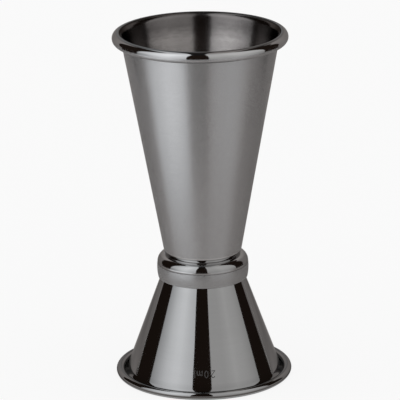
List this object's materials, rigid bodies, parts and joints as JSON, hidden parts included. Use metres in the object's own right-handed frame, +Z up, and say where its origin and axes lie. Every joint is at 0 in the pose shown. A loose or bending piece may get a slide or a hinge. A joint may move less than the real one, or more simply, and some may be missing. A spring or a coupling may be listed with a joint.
{
  "type": "double-ended cocktail jigger",
  "caption": "Double-ended conical bar measure: a tall cup and a short cup with rolled rims, joined floor to floor inside a formed neck collar.",
  "frame": {"origin": "centre of the standing rim, on the surface the measure stands on", "axes": "+Z up along the axis both cups are turned about, from the small cup's rim to the large cup's rim"},
  "size_m": [0.0454, 0.0454, 0.091],
  "materials": {
    "satin_gunmetal": "dark grey, satin ground, with mirror-polished rolled rim",
    "polished_gunmetal": "dark grey, mirror polished",
    "collar_gunmetal": "dark grey, mirror-polished shoulder over a satin band"
  },
  "bodies": {
    "root": {"large_cup": "satin_gunmetal", "small_cup": "polished_gunmetal", "neck_collar": "collar_gunmetal"}
  },
  "joints": []
}
